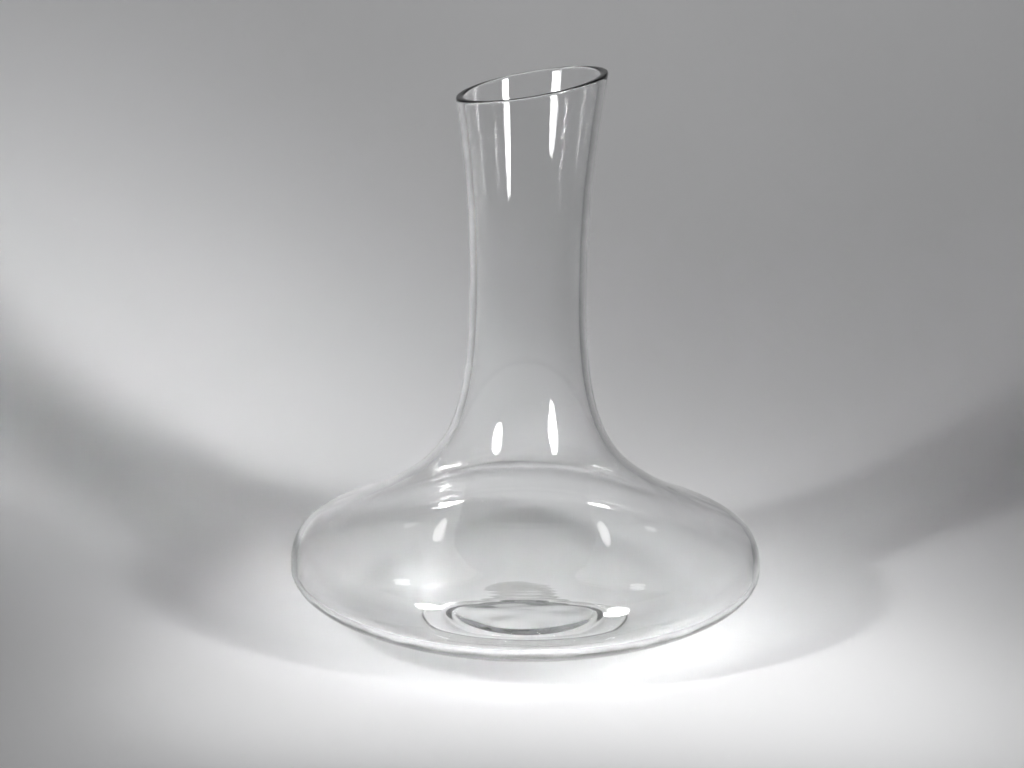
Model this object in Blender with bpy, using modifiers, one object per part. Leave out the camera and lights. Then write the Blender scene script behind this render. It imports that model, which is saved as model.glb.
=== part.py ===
"""A wine decanter: one blown vessel of clear glass with a wide low bowl, a tall
waisted neck, a slanted ground mouth and a flat foot ring round a shallow punt.

Row frame: metres, +Z up, origin on the axis in the plane the foot stands on,
+X towards the high side of the slanted mouth, which is the side it pours over.

The vessel is one turned profile, drawn in millimetres in the XZ plane and spun
by a Screw modifier. A wedge-shaped cutter takes the top off at a slant, and a
Bevel eases the two edges that the cut leaves.
"""

import math

import bpy
from mathutils import Vector

MM = 0.001

# Driving dimensions, in millimetres and degrees. Heights are above the table.
BELLY_R = 100.0  # widest point of the bowl, outside
BELLY_Z = 26.0
SHOULDER_R = 54.1  # where the bowl's crown turns from convex to concave
SHOULDER_Z = 61.9
SHOULDER_SLOPE = 34.1  # its slope there, from the horizontal
WAIST_R = 24.5  # narrowest point of the neck, outside
WAIST_Z = 147.0
MOUTH_R = 34.3  # the neck as blown, before the mouth is cut
MOUTH_Z = 254.0
MOUTH_FLARE = 6.8  # its lean there, from the vertical

RIM_Z = 233.0  # the cut plane on the axis
RIM_SLANT = 10.14  # the cut plane's slope, up towards +X
RIM_EASE = 0.7  # easing of the cut's two edges

# Foot: a flat contact ring, a step up inside it, then the punt's near-flat middle.
RING_IN_R = 33.6
RING_OUT_R = 43.2
PUNT_R = 29.6  # top of the step
PUNT_STEP = 2.2
PUNT_EDGE = 176.0  # heading of the punt's surface there, in towards the axis
UNDERSIDE_R = 45.0  # the bowl's underside starts here
UNDERSIDE_Z = 0.55
UNDERSIDE_SLOPE = 11.0
PUNT_H = 3.0

# Wall thickness, measured square to the outside.
WALL_MOUTH = 3.35
WALL_WAIST = 3.1
WALL_BELLY = 2.8
FLOOR_RING = 3.8  # glass over the contact ring
FLOOR_PUNT = 3.6  # glass over the punt's crown

STEPS = 48  # facets round the axis
CLEAN_BAND = 9.0  # no profile ring lies this close above or below the cut


def bezier(p0, p1, p2, p3, count):
    """count + 1 points on a cubic, ends included."""
    points = []
    for i in range(count + 1):
        t = i / count
        s = 1.0 - t
        points.append(p0 * s**3 + p1 * (3 * s * s * t) + p2 * (3 * s * t * t) + p3 * t**3)
    return points


def heading(degrees):
    """Unit vector in the profile plane, degrees anticlockwise from outward."""
    a = math.radians(degrees)
    return Vector((math.cos(a), math.sin(a)))


def chain(*runs):
    """Runs of points joined end to end, with the shared ends kept once."""
    joined = list(runs[0])
    for run in runs[1:]:
        joined.extend(run[1:])
    return joined


def outer_wall():
    """Underside, bowl, shoulder and neck, from the foot up to the blown mouth."""
    foot = Vector((UNDERSIDE_R, UNDERSIDE_Z))
    belly = Vector((BELLY_R, BELLY_Z))
    shoulder = Vector((SHOULDER_R, SHOULDER_Z))
    waist = Vector((WAIST_R, WAIST_Z))
    mouth = Vector((MOUTH_R, MOUTH_Z))
    up = Vector((0.0, 1.0))
    inward = heading(180.0 - SHOULDER_SLOPE)
    return chain(
        bezier(foot, foot + heading(UNDERSIDE_SLOPE) * 17.5, belly - up * 14.1, belly, 11),
        bezier(belly, belly + up * 21.5, shoulder - inward * 39.3, shoulder, 10),
        bezier(shoulder, shoulder + inward * 24.9, waist - up * 55.3, waist, 9),
        bezier(waist, waist + up * 50.1, mouth - heading(90.0 - MOUTH_FLARE) * 34.2, mouth, 9),
    )


def clear_of_cut(points):
    """Drops the rings near the cut, so that it crosses one row of facets only."""
    return [p for p in points if abs(p.y - RIM_Z) > CLEAN_BAND]


def wall_thickness(p):
    """Glass thickness at an outside point."""
    if p.y > WAIST_Z:
        t = min(1.0, (p.y - WAIST_Z) / (RIM_Z - WAIST_Z))
        return WALL_WAIST + (WALL_MOUTH - WALL_WAIST) * t
    if p.y > BELLY_Z:
        t = (p.y - BELLY_Z) / (WAIST_Z - BELLY_Z)
        return WALL_BELLY + (WALL_WAIST - WALL_BELLY) * t
    t = 1.0 - (p.y - UNDERSIDE_Z) / (BELLY_Z - UNDERSIDE_Z)
    return WALL_BELLY + (FLOOR_RING - WALL_BELLY) * t**3


def offset_inward(points):
    """The inside of a wall whose outside is points, listed from the foot up."""
    inside = []
    for i, p in enumerate(points):
        ahead = points[min(i + 1, len(points) - 1)]
        behind = points[max(i - 1, 0)]
        along = (ahead - behind).normalized()
        inside.append(p + Vector((-along.y, along.x)) * wall_thickness(p))
    return inside


def foot_outside():
    """Contact ring and punt, from the underside's start in to the axis."""
    out = Vector((UNDERSIDE_R, UNDERSIDE_Z))
    ring_out = Vector((RING_OUT_R, 0.0))
    ring_in = Vector((RING_IN_R, 0.0))
    lip = Vector((PUNT_R, PUNT_STEP))
    crown = Vector((0.0, PUNT_H))
    inward = Vector((-1.0, 0.0))
    edge = heading(PUNT_EDGE)
    return chain(
        bezier(out, out - heading(UNDERSIDE_SLOPE) * 1.0, ring_out - inward * 1.0, ring_out, 2),
        [ring_out, ring_in],
        bezier(ring_in, ring_in + inward * 1.8, lip - edge * 1.8, lip, 4),
        bezier(lip, lip + edge * 7.0, crown - inward * 12.0, crown, 4),
    )


def floor_inside(wall_foot, along):
    """Inside floor, from the wall's foot in to the axis: a low soft step, then near flat."""
    moat = Vector((RING_IN_R + 3.0, FLOOR_RING))
    knee = Vector((PUNT_R - 2.0, PUNT_STEP + FLOOR_PUNT))
    crown = Vector((0.0, PUNT_H + FLOOR_PUNT))
    inward = Vector((-1.0, 0.0))
    edge = heading(PUNT_EDGE)
    return chain(
        bezier(wall_foot, wall_foot - along * 3.0, moat - inward * 3.0, moat, 4),
        bezier(moat, moat + inward * 4.0, knee - edge * 4.0, knee, 4),
        bezier(knee, knee + edge * 7.0, crown - inward * 12.0, crown, 4),
    )


def profile():
    """The closed section: up the inside from the axis, over, and down the outside."""
    outside = clear_of_cut(outer_wall())
    inside = offset_inward(outside)
    inside = [p for p in inside if p.x > 0.0]
    along = (inside[1] - inside[0]).normalized()
    floor = floor_inside(inside[0], along)
    return chain(list(reversed(floor)), inside) + list(reversed(outside)) + foot_outside()[1:]


def clear_scene():
    for obj in list(bpy.data.objects):
        bpy.data.objects.remove(obj, do_unlink=True)


def new_collection(name):
    collection = bpy.data.collections.new(name)
    bpy.context.scene.collection.children.link(collection)
    return collection


def clear_glass():
    material = bpy.data.materials.new("clear_glass")
    material.use_nodes = True
    shader = material.node_tree.nodes["Principled BSDF"]
    shader.inputs["Base Color"].default_value = (0.965, 0.985, 0.98, 1.0)
    shader.inputs["Roughness"].default_value = 0.02
    shader.inputs["Metallic"].default_value = 0.0
    shader.inputs["IOR"].default_value = 1.51
    shader.inputs["Transmission Weight"].default_value = 1.0
    return material


def mouth_cutter(collection):
    """A block whose under face is the slanted plane of the mouth."""
    size = 200.0 * MM
    bpy.ops.mesh.primitive_cube_add(size=size, location=(0.0, 0.0, 0.0))
    cutter = bpy.context.active_object
    cutter.name = "mouth_cutter"
    slant = math.radians(RIM_SLANT)
    lift = Vector((-math.sin(slant), 0.0, math.cos(slant))) * (size / 2)
    cutter.rotation_euler = (0.0, -slant, 0.0)
    cutter.location = Vector((0.0, 0.0, RIM_Z * MM)) + lift
    cutter.hide_render = True
    cutter.display_type = "WIRE"
    for owner in list(cutter.users_collection):
        owner.objects.unlink(cutter)
    collection.objects.link(cutter)
    return cutter


def glass_vessel(collection, cutter, material):
    """The whole decanter, as one continuous piece of glass."""
    points = profile()
    mesh = bpy.data.meshes.new("glass_vessel")
    mesh.from_pydata(
        [(p.x * MM, 0.0, p.y * MM) for p in points],
        [(i, i + 1) for i in range(len(points) - 1)],
        [],
    )
    vessel = bpy.data.objects.new("glass_vessel", mesh)
    collection.objects.link(vessel)
    mesh.materials.append(material)

    spin = vessel.modifiers.new("spin", "SCREW")
    spin.axis = "Z"
    spin.angle = math.radians(360.0)
    spin.steps = STEPS
    spin.render_steps = STEPS
    spin.use_merge_vertices = True
    spin.merge_threshold = 0.00002
    spin.use_smooth_shade = True

    cut = vessel.modifiers.new("mouth_cut", "BOOLEAN")
    cut.operation = "DIFFERENCE"
    cut.solver = "EXACT"
    cut.object = cutter

    ease = vessel.modifiers.new("rim_ease", "BEVEL")
    ease.limit_method = "ANGLE"
    ease.angle_limit = math.radians(50.0)
    ease.width = RIM_EASE * MM
    ease.segments = 2
    return vessel


def main():
    clear_scene()
    decanter = new_collection("wine_decanter")
    cutters = new_collection("cutters")
    cutter = mouth_cutter(cutters)
    glass_vessel(decanter, cutter, clear_glass())


main()
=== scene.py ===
"""Looks for the wine decanter: one vessel of clear blown glass on a pale floor.

The vessel is rebuilt here as one closed skin, inside and outside, at the CAD's
dimensions: 160 columns round the axis and a row about every 1.6 mm, with
the slanted mouth's columns ending on its plane and the rim's edges melted round
as a fire-polished rim's are. Lengths in the profile are in millimetres.
"""

import math

import bpy
import numpy as np
from mathutils import Matrix, Vector


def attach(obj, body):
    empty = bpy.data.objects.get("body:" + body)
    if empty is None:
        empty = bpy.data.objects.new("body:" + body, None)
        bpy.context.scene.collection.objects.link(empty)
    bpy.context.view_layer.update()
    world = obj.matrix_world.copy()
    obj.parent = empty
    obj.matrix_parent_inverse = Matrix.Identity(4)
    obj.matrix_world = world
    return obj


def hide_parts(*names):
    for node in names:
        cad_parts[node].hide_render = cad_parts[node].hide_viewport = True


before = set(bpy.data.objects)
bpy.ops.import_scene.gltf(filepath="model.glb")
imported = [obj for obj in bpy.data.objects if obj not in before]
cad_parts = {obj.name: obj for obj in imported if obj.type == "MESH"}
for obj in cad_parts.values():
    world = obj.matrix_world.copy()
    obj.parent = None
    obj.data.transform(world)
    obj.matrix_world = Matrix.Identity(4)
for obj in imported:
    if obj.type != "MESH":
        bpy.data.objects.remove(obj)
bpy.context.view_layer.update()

MM = 0.001
TAU = 2.0 * math.pi

# ---------------------------------------------------------------- dimensions
BELLY_R, BELLY_Z = 100.0, 26.0
SHOULDER_R, SHOULDER_Z, SHOULDER_SLOPE = 54.1, 61.9, 34.1
WAIST_R, WAIST_Z = 24.5, 147.0
MOUTH_R, MOUTH_Z, MOUTH_FLARE = 34.3, 254.0, 6.8
RIM_Z, RIM_SLANT = 233.0, 10.14
RIM_MELT = 1.05  # radius of the melted edges of the rim

RING_IN_R, RING_OUT_R = 33.6, 43.2
UNDERSIDE_R, UNDERSIDE_Z, UNDERSIDE_SLOPE = 45.0, 0.55, 11.0
PUNT_R, PUNT_STEP, PUNT_EDGE, PUNT_H = 29.6, 2.2, 176.0, 3.0

WALL_MOUTH, WALL_WAIST, WALL_BELLY = 3.35, 3.1, 2.8
FLOOR_RING, FLOOR_PUNT = 3.8, 3.6
FLOOR_SWELL, PUNT_SWELL = 0.09, 0.03

RIPPLE = 0.10  # height of the glass's blown ripple
COLUMNS = 160


# ---------------------------------------------------------------- profile
def bez(p0, p1, p2, p3, count):
    t = np.linspace(0.0, 1.0, count + 1)[:, None]
    p0, p1, p2, p3 = (np.array(p, float) for p in (p0, p1, p2, p3))
    return (1 - t) ** 3 * p0 + 3 * (1 - t) ** 2 * t * p1 + 3 * (1 - t) * t * t * p2 + t**3 * p3


def heading(degrees):
    a = math.radians(degrees)
    return np.array([math.cos(a), math.sin(a)])


def chain(*runs):
    return np.vstack([runs[0]] + [r[1:] for r in runs[1:]])


def resample(points, step):
    """The same line with points about step apart."""
    d = np.hypot(*np.diff(points, axis=0).T)
    s = np.concatenate([[0.0], np.cumsum(d)])
    n = max(2, int(round(s[-1] / step)) + 1)
    t = np.linspace(0.0, s[-1], n)
    return np.stack([np.interp(t, s, points[:, 0]), np.interp(t, s, points[:, 1])], 1)


def outer_wall():
    up = np.array([0.0, 1.0])
    foot = np.array([UNDERSIDE_R, UNDERSIDE_Z])
    belly = np.array([BELLY_R, BELLY_Z])
    shoulder = np.array([SHOULDER_R, SHOULDER_Z])
    waist = np.array([WAIST_R, WAIST_Z])
    mouth = np.array([MOUTH_R, MOUTH_Z])
    inward = heading(180.0 - SHOULDER_SLOPE)
    return chain(
        bez(foot, foot + heading(UNDERSIDE_SLOPE) * 17.5, belly - up * 14.1, belly, 400),
        bez(belly, belly + up * 21.5, shoulder - inward * 39.3, shoulder, 400),
        bez(shoulder, shoulder + inward * 24.9, waist - up * 55.3, waist, 400),
        bez(waist, waist + up * 50.1, mouth - heading(90.0 - MOUTH_FLARE) * 34.2, mouth, 400),
    )


def wall_thickness(z):
    t = np.clip((z - WAIST_Z) / (RIM_Z - WAIST_Z), 0, 1)
    upper = WALL_WAIST + (WALL_MOUTH - WALL_WAIST) * t
    t = np.clip((z - BELLY_Z) / (WAIST_Z - BELLY_Z), 0, 1)
    middle = WALL_BELLY + (WALL_WAIST - WALL_BELLY) * t
    t = np.clip(1.0 - (z - UNDERSIDE_Z) / (BELLY_Z - UNDERSIDE_Z), 0, 1)
    lower = WALL_BELLY + (FLOOR_RING - WALL_BELLY) * t**3
    return np.where(z > WAIST_Z, upper, np.where(z > BELLY_Z, middle, lower))


def inner_wall(outer):
    along = np.gradient(outer, axis=0)
    along /= np.hypot(along[:, 0], along[:, 1])[:, None]
    normal = np.stack([-along[:, 1], along[:, 0]], 1)
    return outer + normal * wall_thickness(outer[:, 1])[:, None]


def foot_outside():
    """From the underside's start in to the axis, under the foot: a flat ring, a step up, a near-flat middle."""
    out = np.array([UNDERSIDE_R, UNDERSIDE_Z])
    ring_out = np.array([RING_OUT_R, 0.0])
    ring_in = np.array([RING_IN_R, 0.0])
    lip = np.array([PUNT_R, PUNT_STEP])
    crown = np.array([0.0, PUNT_H])
    inward = np.array([-1.0, 0.0])
    return chain(
        bez(out, out - heading(UNDERSIDE_SLOPE) * 1.0, ring_out - inward * 1.0, ring_out, 60),
        np.array([ring_out, ring_in]),
        bez(ring_in, ring_in + inward * 1.8, lip - heading(PUNT_EDGE) * 1.8, lip, 60),
        bez(lip, lip + heading(PUNT_EDGE) * 7.0, crown - inward * 12.0, crown, 200),
    )


def floor_inside(wall_foot, along):
    """The inner floor: a low soft step over the foot's ring, then near flat."""
    moat = np.array([RING_IN_R + 3.0, FLOOR_RING])
    knee = np.array([PUNT_R - 2.0, PUNT_STEP + FLOOR_PUNT])
    crown = np.array([0.0, PUNT_H + FLOOR_PUNT])
    inward = np.array([-1.0, 0.0])
    return chain(
        bez(wall_foot, wall_foot - along * 3.0, moat - inward * 3.0, moat, 100),
        bez(moat, moat + inward * 4.0, knee - heading(PUNT_EDGE) * 4.0, knee, 60),
        bez(knee, knee + heading(PUNT_EDGE) * 7.0, crown - inward * 12.0, crown, 200),
    )


def swell(points, height, r_full, r_none):
    """Slow irregular waves over the floor, nothing on the axis and beyond r_none."""
    x, y = points[:, 0], points[:, 1]
    r = np.hypot(x, y)
    waves = (
        np.sin(0.17 * x + 0.07 * y + 0.7)
        + 0.8 * np.sin(-0.10 * x + 0.22 * y + 2.1)
        + 0.5 * np.sin(0.27 * x - 0.16 * y + 4.0)
        + 0.3 * np.sin(0.13 * x + 0.34 * y + 5.2)
    )
    edge = np.clip((r_none - r) / (r_none - r_full), 0.0, 1.0)
    middle = np.clip(r / 6.0, 0.0, 1.0)
    return height * waves * edge * edge * (3 - 2 * edge) * middle * middle


# ---------------------------------------------------------------- vessel
def build_vessel():
    theta = np.arange(COLUMNS) * TAU / COLUMNS
    c, s = np.cos(theta), np.sin(theta)
    slant = math.tan(math.radians(RIM_SLANT))

    outer_full = outer_wall()
    inner_full = inner_wall(outer_full)
    along0 = inner_full[1] - inner_full[0]
    along0 /= np.hypot(*along0)

    split = 205.0  # rows above this height lean with the mouth's slant
    outer_low = resample(outer_full[outer_full[:, 1] <= split], 1.6)
    inner_low = resample(inner_full[inner_full[:, 1] <= split], 1.6)

    def crossing(wall):
        """For each column, the height at which a wall's line meets the mouth's plane."""
        z = np.full(COLUMNS, RIM_Z)
        for _ in range(30):
            r = np.interp(z, wall[:, 1], wall[:, 0])
            z = RIM_Z + r * c * slant
        return z

    def ring(points_r, z):
        return np.stack([points_r * c, points_r * s, z], 1)

    rings = []

    def turned(line):
        for r, z in line:
            rings.append(ring(np.full(COLUMNS, r), np.full(COLUMNS, z)))

    # the inside, from the axis up
    floor = resample(floor_inside(inner_full[0], along0)[::-1], 1.2)
    turned(floor[1:])
    n_floor = len(rings)
    turned(inner_low[1:])

    n_high = 20
    z_in, z_out = crossing(inner_full), crossing(outer_full)
    z_low_in, z_low_out = inner_low[-1, 1], outer_low[-1, 1]
    tops = {}
    for name, wall, z_top, z_low in (("in", inner_full, z_in, z_low_in), ("out", outer_full, z_out, z_low_out)):
        z_end = z_top - RIM_MELT
        rows = []
        for k in range(1, n_high + 1):
            z = z_low + (z_end - z_low) * (k / n_high)
            rows.append(ring(np.interp(z, wall[:, 1], wall[:, 0]), z))
        corner = ring(np.interp(z_top, wall[:, 1], wall[:, 0]), z_top)
        tops[name] = (rows, corner)
    rows_in, corner_in = tops["in"]
    rows_out, corner_out = tops["out"]
    rings.extend(rows_in)

    # the rim: round the inner edge, across the cut face, round the outer edge
    across = corner_out - corner_in
    width = np.linalg.norm(across, axis=1)[:, None]
    across /= width
    melt = 7

    def arc(a, corner, b, n, ends):
        t = np.linspace(0, 1, n + 1)[1:] if ends else np.linspace(0, 1, n + 1)[1:-1]
        k = 0.5523
        p1 = a + (corner - a) * k
        p2 = b + (corner - b) * k
        for u in t:
            rings.append((1 - u) ** 3 * a + 3 * (1 - u) ** 2 * u * p1 + 3 * (1 - u) * u * u * p2 + u**3 * b)

    face_in = corner_in + across * RIM_MELT
    face_out = corner_out - across * RIM_MELT
    arc(rows_in[-1], corner_in, face_in, melt, True)
    for u in (0.33, 0.67, 1.0):
        crown = 0.06 * math.sin(math.pi * min(u, 1.0))
        p = face_in + (face_out - face_in) * u
        p = p + np.array([-math.sin(math.radians(RIM_SLANT)), 0.0, math.cos(math.radians(RIM_SLANT))]) * crown
        rings.append(p)
    arc(face_out, corner_out, rows_out[-1], melt, True)

    rings.extend(rows_out[::-1][1:])
    turned(outer_low[::-1][:])
    under = foot_outside()
    flat = under[(under[:, 1] <= 1e-9)]
    runs = [
        resample(under[under[:, 0] >= RING_OUT_R - 1e-6], 0.5),
        resample(flat[np.argsort(-flat[:, 0])], 1.4),
        resample(under[under[:, 0] <= RING_IN_R + 1e-6], 0.8),
    ]
    under = chain(*runs)
    turned(under[1:-1])

    # a blown floor is never quite true: slow swells inside, lower ones under the punt
    for i in range(n_floor):
        rings[i][:, 2] += swell(rings[i], FLOOR_SWELL, 26.0, 41.0)
    for i in range(len(rings)):
        if i > n_floor and rings[i][0, 0] < PUNT_R + 2.0 and rings[i][0, 2] < PUNT_H + 1.0:
            rings[i][:, 2] += swell(rings[i][:, [1, 0, 2]], PUNT_SWELL, 16.0, PUNT_R)

    verts = [np.array([[0.0, 0.0, floor[0, 1]]])] + rings + [np.array([[0.0, 0.0, PUNT_H]])]
    verts = np.vstack(verts) * MM
    n_rings = len(rings)
    faces = []
    first, last = 0, len(verts) - 1

    def idx(ring_i, col):
        return 1 + ring_i * COLUMNS + (col % COLUMNS)

    for j in range(COLUMNS):
        faces.append((first, idx(0, j), idx(0, j + 1)))
        for i in range(n_rings - 1):
            faces.append((idx(i, j), idx(i + 1, j), idx(i + 1, j + 1), idx(i, j + 1)))
        faces.append((last, idx(n_rings - 1, j + 1), idx(n_rings - 1, j)))

    mesh = bpy.data.meshes.new("decanter_glass")
    mesh.from_pydata([tuple(v) for v in verts], [], faces)
    mesh.validate()
    mesh.polygons.foreach_set("use_smooth", [True] * len(mesh.polygons))
    mesh.update()
    obj = bpy.data.objects.new("decanter_glass", mesh)
    bpy.context.scene.collection.objects.link(obj)
    return obj


def facing_out(obj):
    """Turns the faces over if the closed mesh's volume comes out negative."""
    me = obj.data
    me.calc_loop_triangles()
    co = np.empty(len(me.vertices) * 3)
    me.vertices.foreach_get("co", co)
    co = co.reshape(-1, 3)
    tri = np.empty(len(me.loop_triangles) * 3, np.int32)
    me.loop_triangles.foreach_get("vertices", tri)
    tri = tri.reshape(-1, 3)
    v = np.einsum("ij,ij->i", co[tri[:, 0]], np.cross(co[tri[:, 1]], co[tri[:, 2]])).sum() / 6
    if v < 0:
        me.flip_normals()
    return v


# ---------------------------------------------------------------- materials
def node(nt, kind, **values):
    n = nt.nodes.new(kind)
    for key, value in values.items():
        setattr(n, key, value)
    return n


def glass_material():
    """Clear soda glass: a mirror-smooth skin with a blown ripple, and a foot ring dulled by wear."""
    mat = bpy.data.materials.new("clear_glass")
    mat.use_nodes = True
    nt = mat.node_tree
    link = nt.links.new
    sh = nt.nodes["Principled BSDF"]
    sh.inputs["IOR"].default_value = 1.51
    sh.inputs["Transmission Weight"].default_value = 1.0

    where = node(nt, "ShaderNodeTexCoord").outputs["Object"]
    height = node(nt, "ShaderNodeSeparateXYZ")
    link(where, height.inputs[0])

    # the faintest green where the glass was worked thicker
    tone = node(nt, "ShaderNodeTexNoise", noise_dimensions="3D")
    tone.inputs["Scale"].default_value = 22.0
    tone.inputs["Detail"].default_value = 2.0
    link(where, tone.inputs["Vector"])
    ramp = node(nt, "ShaderNodeValToRGB")
    ramp.color_ramp.elements[0].position, ramp.color_ramp.elements[0].color = 0.3, (0.984, 0.988, 0.987, 1.0)
    ramp.color_ramp.elements[1].position, ramp.color_ramp.elements[1].color = 0.7, (0.994, 0.996, 0.996, 1.0)
    link(tone.outputs["Fac"], ramp.inputs["Fac"])
    link(ramp.outputs["Color"], sh.inputs["Base Color"])

    # fine scuffs from years of standing and sliding, only on the lowest half millimetre
    scuff = node(nt, "ShaderNodeTexNoise", noise_dimensions="3D")
    scuff.inputs["Scale"].default_value = 900.0
    scuff.inputs["Detail"].default_value = 6.0
    link(where, scuff.inputs["Vector"])
    low = node(nt, "ShaderNodeMapRange", clamp=True)
    low.inputs["From Min"].default_value, low.inputs["From Max"].default_value = 0.0005, 0.0001
    link(height.outputs["Z"], low.inputs["Value"])
    wear = node(nt, "ShaderNodeMath", operation="MULTIPLY")
    link(scuff.outputs["Fac"], wear.inputs[0])
    link(low.outputs["Result"], wear.inputs[1])
    rough = node(nt, "ShaderNodeMapRange", clamp=True)
    rough.inputs["To Min"].default_value, rough.inputs["To Max"].default_value = 0.0, 0.22
    link(wear.outputs[0], rough.inputs["Value"])
    link(rough.outputs["Result"], sh.inputs["Roughness"])

    # the ripple left by blowing and turning: long up the wall, closer round it
    stretch = node(nt, "ShaderNodeMapping")
    stretch.inputs["Scale"].default_value = (1.0, 1.0, 0.45)
    link(where, stretch.inputs["Vector"])
    ripple = node(nt, "ShaderNodeTexNoise", noise_dimensions="3D")
    ripple.inputs["Scale"].default_value = 55.0
    ripple.inputs["Detail"].default_value = 1.0
    ripple.inputs["Roughness"].default_value = 0.35
    link(stretch.outputs["Vector"], ripple.inputs["Vector"])
    bump = node(nt, "ShaderNodeBump")
    bump.inputs["Strength"].default_value = 1.0
    bump.inputs["Distance"].default_value = RIPPLE * MM
    link(ripple.outputs["Fac"], bump.inputs["Height"])
    link(bump.outputs["Normal"], sh.inputs["Normal"])
    return mat


def floor_material():
    """Matt card with a faint tooth and slow tone changes."""
    mat = bpy.data.materials.new("paper")
    mat.use_nodes = True
    nt = mat.node_tree
    link = nt.links.new
    sh = nt.nodes["Principled BSDF"]
    sh.inputs["Specular IOR Level"].default_value = 0.15
    where = node(nt, "ShaderNodeTexCoord").outputs["Object"]
    cloud = node(nt, "ShaderNodeTexNoise", noise_dimensions="3D")
    cloud.inputs["Scale"].default_value = 3.0
    cloud.inputs["Detail"].default_value = 3.0
    link(where, cloud.inputs["Vector"])
    ramp = node(nt, "ShaderNodeValToRGB")
    ramp.color_ramp.elements[0].position, ramp.color_ramp.elements[0].color = 0.3, (0.850, 0.850, 0.855, 1.0)
    ramp.color_ramp.elements[1].position, ramp.color_ramp.elements[1].color = 0.7, (0.868, 0.868, 0.873, 1.0)
    link(cloud.outputs["Fac"], ramp.inputs["Fac"])
    link(ramp.outputs["Color"], sh.inputs["Base Color"])
    tooth = node(nt, "ShaderNodeTexNoise", noise_dimensions="3D")
    tooth.inputs["Scale"].default_value = 1400.0
    tooth.inputs["Detail"].default_value = 3.0
    link(where, tooth.inputs["Vector"])
    rough = node(nt, "ShaderNodeMapRange", clamp=True)
    rough.inputs["To Min"].default_value, rough.inputs["To Max"].default_value = 0.84, 0.96
    link(tooth.outputs["Fac"], rough.inputs["Value"])
    link(rough.outputs["Result"], sh.inputs["Roughness"])
    bump = node(nt, "ShaderNodeBump")
    bump.inputs["Strength"].default_value = 0.4
    bump.inputs["Distance"].default_value = 0.00005
    link(tooth.outputs["Fac"], bump.inputs["Height"])
    link(bump.outputs["Normal"], sh.inputs["Normal"])

    # the sheet's outer side is open, so that the vessel can also be seen from behind it
    outer_side = node(nt, "ShaderNodeNewGeometry").outputs["Backfacing"]
    one_way = node(nt, "ShaderNodeMixShader")
    link(outer_side, one_way.inputs[0])
    link(sh.outputs[0], one_way.inputs[1])
    link(node(nt, "ShaderNodeBsdfTransparent").outputs[0], one_way.inputs[2])
    link(one_way.outputs[0], nt.nodes["Material Output"].inputs["Surface"])
    return mat


# ---------------------------------------------------------------- stage
def sweep_backdrop():
    """A paper sweep: flat all round, rising soon behind the vessel and far off elsewhere."""
    near, far, rise_r, wall_h = 0.14, 1.5, 0.95, 2.2
    n = 144
    steps = [(0.25, 0.0), (0.5, 0.0), (0.75, 0.0), (1.0, 0.0)]
    for k in range(1, 31):
        a = math.radians(90.0 * k / 30)
        steps.append((rise_r * math.sin(a), rise_r * (1 - math.cos(a))))
    steps.append((rise_r, wall_h))
    verts, faces = [(0.0, 0.0, 0.0)], []
    for i, (d, z) in enumerate(steps):
        for j in range(n):
            a = TAU * j / n
            ahead = max(0.0, math.sin(a)) / near
            flat = ((1.0 / far) ** 4 + ahead**4) ** -0.25
            r = d * flat if i < 4 else flat + d
            verts.append((r * math.cos(a), r * math.sin(a), z))
    for j in range(n):
        faces.append((0, 1 + j, 1 + (j + 1) % n))
    for i in range(len(steps) - 1):
        for j in range(n):
            a, b = 1 + i * n + j, 1 + i * n + (j + 1) % n
            faces.append((a, a + n, b + n, b))
    mesh = bpy.data.meshes.new("backdrop")
    mesh.from_pydata(verts, [], faces)
    mesh.polygons.foreach_set("use_smooth", [True] * len(mesh.polygons))
    obj = bpy.data.objects.new("backdrop", mesh)
    bpy.context.scene.collection.objects.link(obj)
    obj.location.z = -0.0002
    mesh.materials.append(floor_material())
    return obj


def area(name, pos, target, size, size_y, power, spread=180.0):
    data = bpy.data.lights.new(name, "AREA")
    data.shape = "ELLIPSE"
    data.size, data.size_y = size, size_y
    data.energy = power
    data.spread = math.radians(spread)
    obj = bpy.data.objects.new(name, data)
    bpy.context.scene.collection.objects.link(obj)
    obj.location = pos
    obj.rotation_mode = "QUATERNION"
    obj.rotation_quaternion = (Vector(target) - Vector(pos)).to_track_quat("-Z", "Y")
    obj.visible_camera = False
    return obj


def place(az, el, dist):
    """A point round the object: az from the front, + to the right, el above the horizon."""
    a, e = math.radians(az), math.radians(el)
    return (dist * math.sin(a) * math.cos(e), -dist * math.cos(a) * math.cos(e), dist * math.sin(e))


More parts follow.
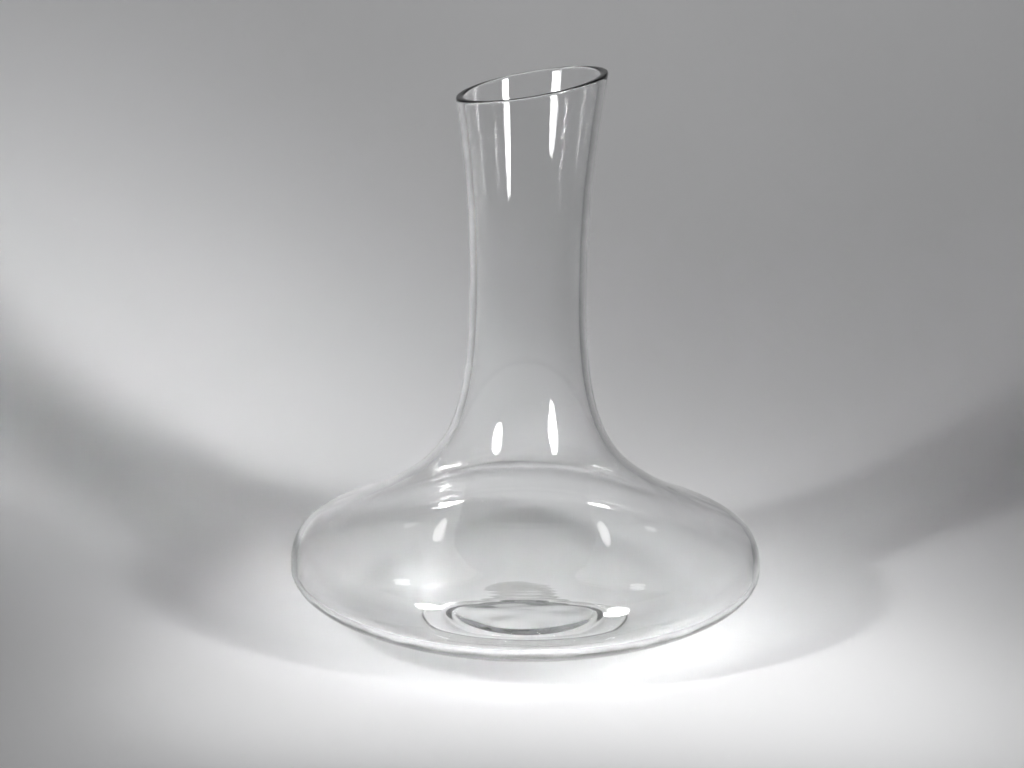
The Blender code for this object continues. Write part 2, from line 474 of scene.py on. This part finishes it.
def lights():
    """Two upright lamps in front, left and right, each with a tighter beam through the bowl, and soft fills."""
    world = bpy.data.worlds.new("studio")
    bpy.context.scene.world = world
    world.use_nodes = True
    bg = world.node_tree.nodes["Background"]
    bg.inputs["Color"].default_value = (0.97, 0.98, 1.0, 1.0)
    bg.inputs["Strength"].default_value = 0.13
    area("key_left", (-0.324, -0.313, 0.27), (0.04, 0.04, 0.10), 0.105, 0.155, 0.19, 70.0)
    area("pool_left", (-0.33, -0.32, 0.30), (0.08, 0.03, 0.0), 0.03, 0.04, 0.082, 44.0)
    area("key_right", (0.337, -0.349, 0.25), (-0.05, 0.05, 0.11), 0.08, 0.24, 0.27, 70.0)
    area("pool_right", (0.345, -0.355, 0.26), (-0.06, 0.03, 0.0), 0.03, 0.04, 0.045, 44.0)
    area("front_left", (-0.33, -0.32, 0.30), (-0.13, -0.20, 0.0), 0.08, 0.08, 0.018, 50.0)
    area("glow_right", place(43.5, 22, 1.12), (-0.17, 0.27, 0.0), 0.22, 0.42, 0.30, 20.0)
    area("top_fill", (0.1, -0.2, 1.6), (0.04, 0.75, 0.25), 0.5, 0.3, 0.40, 46.0)
    area("back_left", place(-131, 57, 1.3), (0.0, 0.0, 0.05), 0.16, 0.08, 0.12)
    area("back_right", place(130, 60, 1.3), (0.0, 0.0, 0.05), 0.16, 0.08, 0.12)


def camera():
    """The front view: 18 degrees above the belly's level, 1.4 m away."""
    dist, lift = 1.4, 1.4 * math.tan(math.radians(18.0))
    pitch, yaw, roll = math.radians(18.0) - math.atan((562.74 - 384.0) / 3442.2), math.atan((527.54 - 512.0) / 3442.2), math.radians(0.51)
    fw = Vector((-math.sin(yaw) * math.cos(pitch), math.cos(yaw) * math.cos(pitch), -math.sin(pitch)))
    right = fw.cross(Vector((0, 0, 1))).normalized()
    up = right.cross(fw)
    x = right * math.cos(roll) + up * math.sin(roll)
    y = up * math.cos(roll) - right * math.sin(roll)
    data = bpy.data.cameras.new("front")
    data.sensor_fit = "HORIZONTAL"
    data.sensor_width = 36.0
    data.lens = 3442.2 / 1024 * 36.0
    data.clip_start, data.clip_end = 0.05, 50.0
    cam = bpy.data.objects.new("front", data)
    bpy.context.scene.collection.objects.link(cam)
    m = Matrix((x, y, -fw)).transposed().to_4x4()
    m.translation = Vector((0.0, -dist, lift + BELLY_Z * MM))
    cam.matrix_world = m
    bpy.context.scene.camera = cam


# ---------------------------------------------------------------- assemble
vessel = build_vessel()
volume = facing_out(vessel)
vessel.data.materials.append(glass_material())
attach(vessel, "root")
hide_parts("glass_vessel")

sweep_backdrop()
lights()
camera()

view = bpy.context.scene.view_settings
view.view_transform = "Standard"
view.look = "None"

light_paths = bpy.context.scene.cycles
light_paths.max_bounces = 32
light_paths.transmission_bounces = 32
light_paths.glossy_bounces = 16
light_paths.diffuse_bounces = 8
light_paths.sample_clamp_indirect = 0.0
light_paths.blur_glossy = 0.0

bpy.context.view_layer.update()
